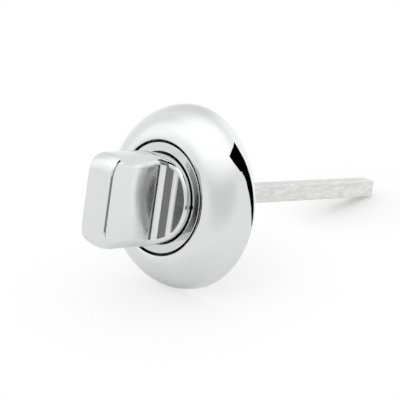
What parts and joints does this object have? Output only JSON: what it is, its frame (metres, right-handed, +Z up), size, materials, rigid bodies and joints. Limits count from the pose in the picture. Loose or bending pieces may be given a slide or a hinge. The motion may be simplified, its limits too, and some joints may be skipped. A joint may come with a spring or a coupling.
{
  "type": "thumbturn",
  "caption": "Chrome thumbturn for a bathroom or WC door: a flat-winged turn knob in a round domed rose, with a square spindle behind that works the lock.",
  "frame": {"origin": "centre of the rose on the door's face, where the fixing holes are centred and the turn axis crosses the door plane", "axes": "+Y along the turn axis into the door, so the knob faces -Y; +Z up along the knob's wing; +X to the right for someone facing the knob"},
  "size_m": [0.052, 0.1166, 0.052],
  "materials": {
    "polished_chrome": "bright polished chrome plate",
    "zinc_casting": "bare tumbled zinc die-casting",
    "nylon": "natural moulded nylon",
    "galvanised_steel": "rough zinc-plated bright-drawn bar",
    "spring_steel": "phosphated spring steel"
  },
  "bodies": {
    "rose": {"rose_cover": "polished_chrome", "bearing_collar": "polished_chrome", "mounting_base": "zinc_casting", "shank_bush": "nylon", "spring_washer": "spring_steel"},
    "turn": {"turn_knob": "polished_chrome", "spindle": "galvanised_steel", "grub_screw": "spring_steel", "thrust_washer": "galvanised_steel", "circlip": "spring_steel"}
  },
  "joints": [
    {"name": "turn_spin", "type": "hinge", "parent": "rose", "child": "turn", "pos_m": [0, 0, 0], "axis": [0, -1, 0], "continuous": true}
  ]
}
